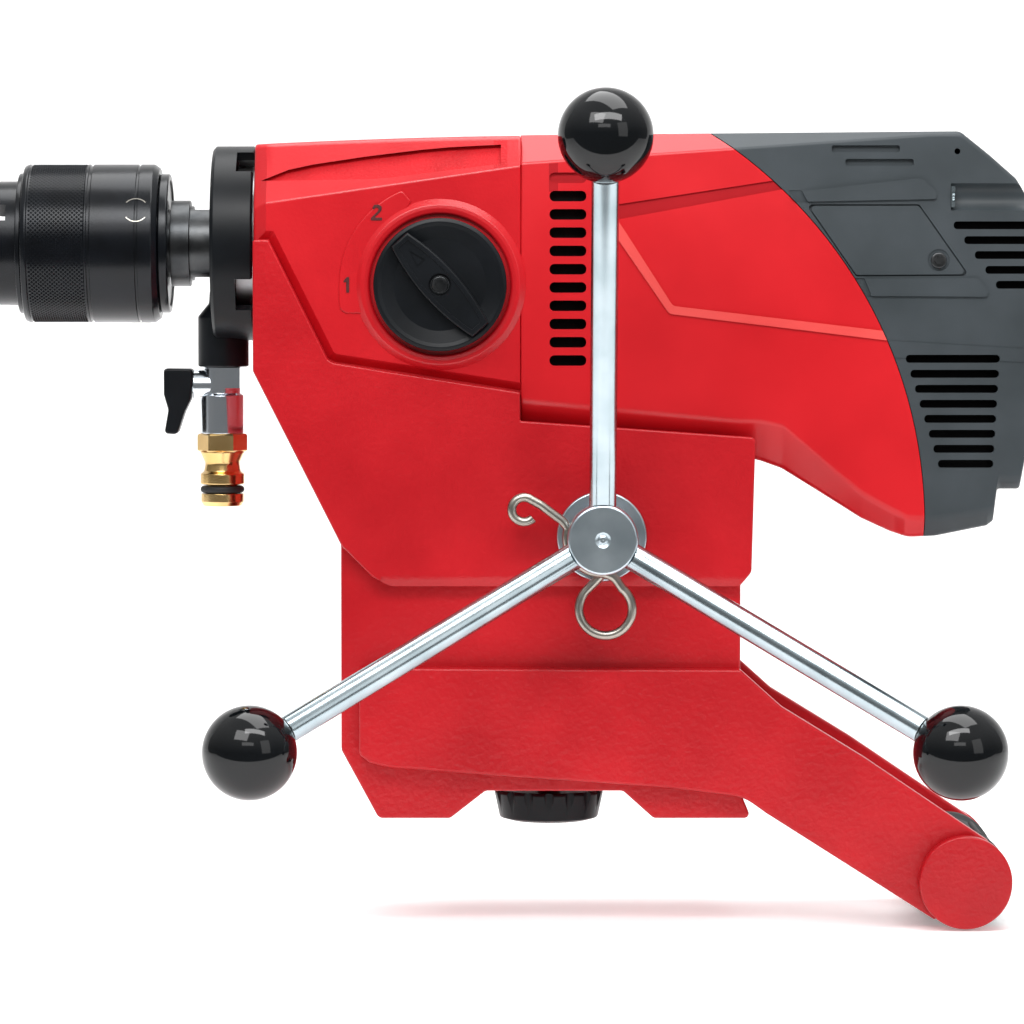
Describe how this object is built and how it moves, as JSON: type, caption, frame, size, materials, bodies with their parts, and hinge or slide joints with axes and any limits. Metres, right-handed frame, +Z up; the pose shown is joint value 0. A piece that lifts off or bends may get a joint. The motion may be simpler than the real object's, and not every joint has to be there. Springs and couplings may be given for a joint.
{
  "type": "core drill rig",
  "caption": "Two-speed wet core drill on its rail carriage, with feed handwheel, cross handle, quick-release chuck and water valve.",
  "frame": {"origin": "centre of the column passage through the carriage, under the handwheel's axis", "axes": "+X along the spindle towards the motor, chuck at -X; -Y towards the handwheel; +Z up"},
  "size_m": [0.455, 0.223, 0.363],
  "materials": {
    "cast_paint": "glossy red enamel over a coarse casting",
    "red_casing": "satin red enamel",
    "red_plastic": "fine-grained red moulding",
    "black_plastic": "fine-grained black moulding",
    "gloss_black": "polished black",
    "rubber": "soft dark rubber",
    "plated": "bright zinc and chrome plate",
    "steel": "ground steel",
    "black_oxide": "blued and oiled steel",
    "aluminium": "turned aluminium",
    "brass": "turned brass",
    "copper": "enamelled copper",
    "iron": "varnished laminations",
    "carbon": "pressed carbon"
  },
  "bodies": {
    "drill_and_carriage": {"carriage_frame": "cast_paint", "handle_bar": "steel", "handle_grip": "rubber", "handle_end_caps": "red_plastic", "roller_axles": "steel", "gear_housing": "red_casing", "bearing_cap": "aluminium", "bearing_flange": "aluminium", "ball_bearings": "steel", "shift_rod": "steel", "water_ring": "black_plastic", "water_seals": "rubber", "valve_body": "plated", "hose_nipple": "brass", "motor_housing": "red_plastic", "rear_cover": "black_plastic", "brush_covers": "black_plastic", "stator_core": "iron", "stator_windings": "copper", "end_bracket": "black_plastic", "brush_holders": "brass", "carbon_brushes": "carbon", "electronics_module": "black_plastic", "cable_gland": "black_plastic", "switch_bezel": "black_plastic", "assembly_screws": "black_oxide"},
    "spindle_unit": {"spindle": "steel", "chuck_body": "black_oxide", "chuck_rings": "black_oxide", "chuck_pawls": "steel"},
    "chuck_sleeve": {"chuck_sleeve": "black_oxide"},
    "low_speed_gear": {"low_speed_gear": "steel"},
    "high_speed_gear": {"high_speed_gear": "steel"},
    "shift_fork": {"shift_fork": "brass"},
    "dog_sleeve": {"dog_sleeve": "steel"},
    "countershaft": {"countershaft": "steel", "first_stage_gear": "steel", "clutch_springs": "steel"},
    "armature": {"armature_shaft": "steel", "armature_core": "iron", "armature_windings": "copper", "commutator": "copper", "cooling_fan": "black_plastic"},
    "selector": {"selector_knob": "black_plastic", "selector_shaft": "steel", "selector_screw": "black_oxide"},
    "water_valve": {"valve_lever": "black_plastic", "valve_ball": "plated"},
    "handwheel": {"pinion_shaft": "steel", "handwheel_hub": "plated", "spokes": "plated", "ball_knobs": "gloss_black", "retaining_clip": "steel"},
    "guide_roller_1": {"guide_roller_1": "steel"},
    "guide_roller_2": {"guide_roller_2": "steel"},
    "guide_roller_3": {"guide_roller_3": "steel"},
    "guide_roller_4": {"guide_roller_4": "steel"},
    "lock_knob": {"lock_knob": "black_plastic"},
    "clamp_shoe": {"clamp_shoe": "brass"},
    "switch_rocker": {"switch_rocker": "red_plastic"}
  },
  "joints": [
    {"name": "spindle_spin", "type": "hinge", "parent": "drill_and_carriage", "child": "spindle_unit", "pos_m": [-0.17, 0, 0.195], "axis": [1, 0, 0], "continuous": true},
    {"name": "chuck_release", "type": "hinge", "parent": "spindle_unit", "child": "chuck_sleeve", "pos_m": [-0.225, 0, 0.195], "axis": [1, 0, 0], "range_deg": [0, 60]},
    {"name": "low_gear_spin", "type": "hinge", "parent": "drill_and_carriage", "child": "low_speed_gear", "pos_m": [-0.1245, 0, 0.195], "axis": [1, 0, 0], "continuous": true},
    {"name": "high_gear_spin", "type": "hinge", "parent": "drill_and_carriage", "child": "high_speed_gear", "pos_m": [-0.0925, 0, 0.195], "axis": [1, 0, 0], "continuous": true},
    {"name": "fork_shift", "type": "slide", "parent": "drill_and_carriage", "child": "shift_fork", "axis": [-1, 0, 0], "range_m": [0, 0.0046]},
    {"name": "dog_sleeve_spin", "type": "hinge", "parent": "shift_fork", "child": "dog_sleeve", "pos_m": [-0.105, 0, 0.195], "axis": [1, 0, 0], "continuous": true},
    {"name": "countershaft_spin", "type": "hinge", "parent": "drill_and_carriage", "child": "countershaft", "pos_m": [-0.092, 0, 0.153], "axis": [1, 0, 0], "continuous": true},
    {"name": "armature_spin", "type": "hinge", "parent": "drill_and_carriage", "child": "armature", "pos_m": [0.03, 0, 0.195], "axis": [1, 0, 0], "continuous": true},
    {"name": "speed_selector", "type": "hinge", "parent": "drill_and_carriage", "child": "selector", "pos_m": [-0.0702, -0.056, 0.1772], "axis": [0, -1, 0], "range_deg": [0, 49]},
    {"name": "water_valve_turn", "type": "hinge", "parent": "drill_and_carriage", "child": "water_valve", "pos_m": [-0.1678, 0, 0.1322], "axis": [-1, 0, 0], "range_deg": [0, 90]},
    {"name": "handwheel_turn", "type": "hinge", "parent": "drill_and_carriage", "child": "handwheel", "pos_m": [0, -0.06, 0.068], "axis": [0, 1, 0], "continuous": true},
    {"name": "lock_knob_turn", "type": "hinge", "parent": "drill_and_carriage", "child": "lock_knob", "pos_m": [-0.0226, 0, -0.055], "axis": [0, 0, 1], "range_deg": [0, 240]},
    {"name": "clamp_shoe_lift", "type": "slide", "parent": "drill_and_carriage", "child": "clamp_shoe", "axis": [0, 0, 1], "range_m": [0, 0.001]},
    {"name": "power_switch", "type": "hinge", "parent": "drill_and_carriage", "child": "switch_rocker", "pos_m": [0.1836, 0, 0.178], "axis": [0, 1, 0], "range_deg": [-9, 9]},
    {"name": "roller_1_spin", "type": "hinge", "parent": "drill_and_carriage", "child": "guide_roller_1", "pos_m": [-0.095, -0.042, -0.004], "axis": [0, 0, 1], "continuous": true},
    {"name": "roller_2_spin", "type": "hinge", "parent": "drill_and_carriage", "child": "guide_roller_2", "pos_m": [-0.095, 0.042, -0.004], "axis": [0, 0, 1], "continuous": true},
    {"name": "roller_3_spin", "type": "hinge", "parent": "drill_and_carriage", "child": "guide_roller_3", "pos_m": [0.042, -0.042, -0.004], "axis": [0, 0, 1], "continuous": true},
    {"name": "roller_4_spin", "type": "hinge", "parent": "drill_and_carriage", "child": "guide_roller_4", "pos_m": [0.042, 0.042, -0.004], "axis": [0, 0, 1], "continuous": true}
  ],
  "couplings": [
    {"joint": "countershaft_spin", "follows": "spindle_spin", "ratio": -1.8},
    {"joint": "armature_spin", "follows": "spindle_spin", "ratio": 9.4},
    {"joint": "low_gear_spin", "follows": "spindle_spin", "ratio": 0.44},
    {"joint": "high_gear_spin", "follows": "spindle_spin", "ratio": 1},
    {"joint": "dog_sleeve_spin", "follows": "spindle_spin", "ratio": 1},
    {"joint": "speed_selector", "follows": "fork_shift", "rad_per_m": 185.91},
    {"joint": "lock_knob_turn", "follows": "clamp_shoe_lift", "rad_per_m": 4188.8}
  ]
}
